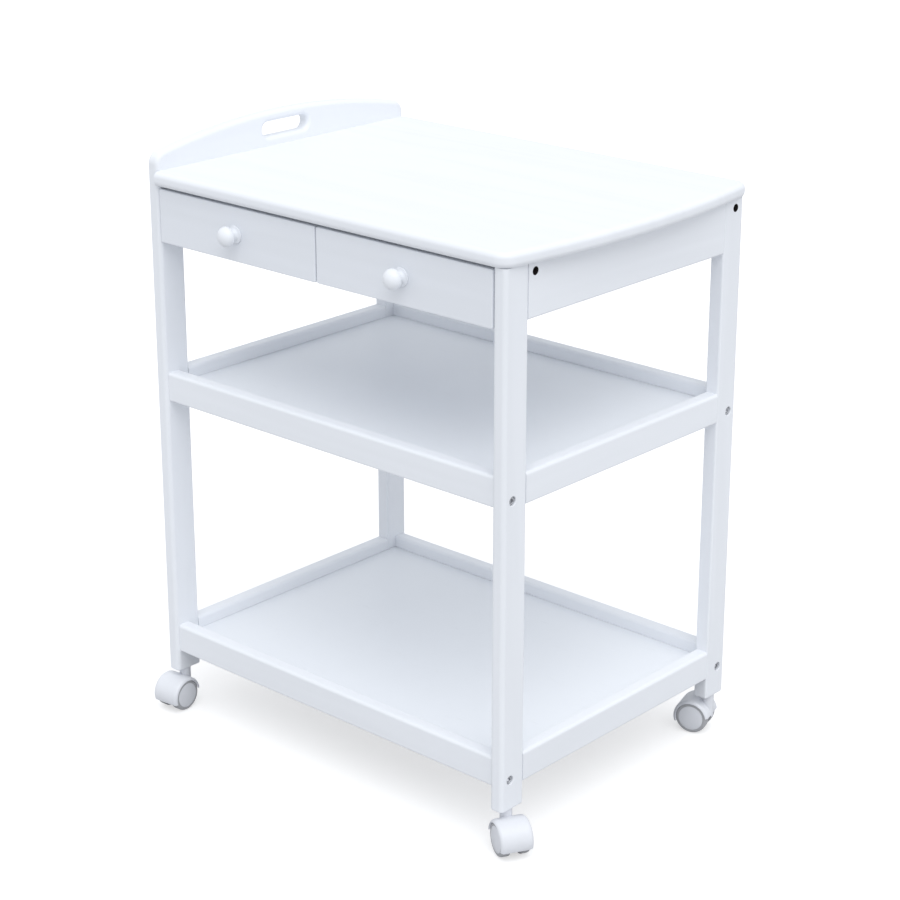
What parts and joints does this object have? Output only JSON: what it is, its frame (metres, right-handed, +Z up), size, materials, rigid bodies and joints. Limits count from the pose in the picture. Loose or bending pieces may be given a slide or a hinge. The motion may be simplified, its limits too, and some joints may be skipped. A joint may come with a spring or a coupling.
{
  "type": "changing table",
  "caption": "Wooden changing table on castors: a flat round-edged top with an arched headboard and hand slot, drawers below it and open trays.",
  "frame": {"origin": "on the floor, under the middle of the footprint", "axes": "+Z up; +X along the table from the headboard to the bowed foot end; -Y towards the user, the way the drawers open"},
  "size_m": [0.7622, 0.59, 0.934],
  "materials": {
    "painted_wood": "satin white paint over solid wood and board",
    "drawer_paint": "satin white paint over board",
    "castor_plastic": "moulded pale grey-white plastic",
    "zinc_steel": "zinc-plated steel"
  },
  "bodies": {
    "frame": {"leg_front_foot": "painted_wood", "leg_front_head": "painted_wood", "leg_back_foot": "painted_wood", "leg_back_head": "painted_wood", "bolt_low_front_foot": "zinc_steel", "bolt_middle_front_foot": "zinc_steel", "bolt_low_front_head": "zinc_steel", "bolt_middle_front_head": "zinc_steel", "bolt_low_back_foot": "zinc_steel", "bolt_middle_back_foot": "zinc_steel", "bolt_low_back_head": "zinc_steel", "bolt_middle_back_head": "zinc_steel", "table_top": "painted_wood", "headboard": "painted_wood", "apron_head_end": "painted_wood", "apron_foot_end": "painted_wood", "apron_back": "painted_wood", "tray_low_rail_front": "painted_wood", "tray_low_rail_back": "painted_wood", "tray_low_rail_head_end": "painted_wood", "tray_low_rail_foot_end": "painted_wood", "tray_low_floor": "painted_wood", "tray_middle_rail_front": "painted_wood", "tray_middle_rail_back": "painted_wood", "tray_middle_rail_head_end": "painted_wood", "tray_middle_rail_foot_end": "painted_wood", "tray_middle_floor": "painted_wood", "drawer_divider": "drawer_paint", "drawer_batten_head_end": "drawer_paint", "drawer_batten_foot_end": "drawer_paint"},
    "drawer_head": {"drawer_head_front": "drawer_paint", "drawer_head_outer_side": "drawer_paint", "drawer_head_inner_side": "drawer_paint", "drawer_head_back": "drawer_paint", "drawer_head_bottom": "drawer_paint", "drawer_head_knob": "painted_wood"},
    "drawer_foot": {"drawer_foot_front": "drawer_paint", "drawer_foot_outer_side": "drawer_paint", "drawer_foot_inner_side": "drawer_paint", "drawer_foot_back": "drawer_paint", "drawer_foot_bottom": "drawer_paint", "drawer_foot_knob": "painted_wood"},
    "castor_front_foot": {"castor_front_foot_housing": "castor_plastic", "castor_front_foot_axle": "zinc_steel"},
    "castor_front_foot_wheel_left": {"castor_front_foot_wheel_left": "castor_plastic"},
    "castor_front_foot_wheel_right": {"castor_front_foot_wheel_right": "castor_plastic"},
    "castor_front_head": {"castor_front_head_housing": "castor_plastic", "castor_front_head_axle": "zinc_steel"},
    "castor_front_head_wheel_left": {"castor_front_head_wheel_left": "castor_plastic"},
    "castor_front_head_wheel_right": {"castor_front_head_wheel_right": "castor_plastic"},
    "castor_back_foot": {"castor_back_foot_housing": "castor_plastic", "castor_back_foot_axle": "zinc_steel"},
    "castor_back_foot_wheel_left": {"castor_back_foot_wheel_left": "castor_plastic"},
    "castor_back_foot_wheel_right": {"castor_back_foot_wheel_right": "castor_plastic"},
    "castor_back_head": {"castor_back_head_housing": "castor_plastic", "castor_back_head_axle": "zinc_steel"},
    "castor_back_head_wheel_left": {"castor_back_head_wheel_left": "castor_plastic"},
    "castor_back_head_wheel_right": {"castor_back_head_wheel_right": "castor_plastic"}
  },
  "joints": [
    {"name": "drawer_head_slide", "type": "slide", "parent": "frame", "child": "drawer_head", "axis": [0, -1, 0], "range_m": [0, 0.3]},
    {"name": "drawer_foot_slide", "type": "slide", "parent": "frame", "child": "drawer_foot", "axis": [0, -1, 0], "range_m": [0, 0.3]},
    {"name": "castor_front_foot_swivel", "type": "hinge", "parent": "frame", "child": "castor_front_foot", "pos_m": [0.32625, -0.244, 0.04], "axis": [0, 0, 1], "continuous": true},
    {"name": "castor_front_foot_wheel_left_roll", "type": "hinge", "parent": "castor_front_foot", "child": "castor_front_foot_wheel_left", "pos_m": [0.34391, -0.25339, 0.0255], "axis": [0.4695, 0.8829, 0], "continuous": true},
    {"name": "castor_front_foot_wheel_right_roll", "type": "hinge", "parent": "castor_front_foot", "child": "castor_front_foot_wheel_right", "pos_m": [0.34391, -0.25339, 0.0255], "axis": [0.4695, 0.8829, 0], "continuous": true},
    {"name": "castor_front_head_swivel", "type": "hinge", "parent": "frame", "child": "castor_front_head", "pos_m": [-0.35475, -0.244, 0.04], "axis": [0, 0, 1], "continuous": true},
    {"name": "castor_front_head_wheel_left_roll", "type": "hinge", "parent": "castor_front_head", "child": "castor_front_head_wheel_left", "pos_m": [-0.35301, -0.26392, 0.0255], "axis": [0.9962, 0.0872, 0], "continuous": true},
    {"name": "castor_front_head_wheel_right_roll", "type": "hinge", "parent": "castor_front_head", "child": "castor_front_head_wheel_right", "pos_m": [-0.35301, -0.26392, 0.0255], "axis": [0.9962, 0.0872, 0], "continuous": true},
    {"name": "castor_back_foot_swivel", "type": "hinge", "parent": "frame", "child": "castor_back_foot", "pos_m": [0.32625, 0.24, 0.04], "axis": [0, 0, 1], "continuous": true},
    {"name": "castor_back_foot_wheel_left_roll", "type": "hinge", "parent": "castor_back_foot", "child": "castor_back_foot_wheel_left", "pos_m": [0.30712, 0.23415, 0.0255], "axis": [0.2924, -0.9563, 0], "continuous": true},
    {"name": "castor_back_foot_wheel_right_roll", "type": "hinge", "parent": "castor_back_foot", "child": "castor_back_foot_wheel_right", "pos_m": [0.30712, 0.23415, 0.0255], "axis": [0.2924, -0.9563, 0], "continuous": true},
    {"name": "castor_back_head_swivel", "type": "hinge", "parent": "frame", "child": "castor_back_head", "pos_m": [-0.35475, 0.24, 0.04], "axis": [0, 0, 1], "continuous": true},
    {"name": "castor_back_head_wheel_left_roll", "type": "hinge", "parent": "castor_back_head", "child": "castor_back_head_wheel_left", "pos_m": [-0.34475, 0.25732, 0.0255], "axis": [-0.866, 0.5, 0], "continuous": true},
    {"name": "castor_back_head_wheel_right_roll", "type": "hinge", "parent": "castor_back_head", "child": "castor_back_head_wheel_right", "pos_m": [-0.34475, 0.25732, 0.0255], "axis": [-0.866, 0.5, 0], "continuous": true}
  ]
}
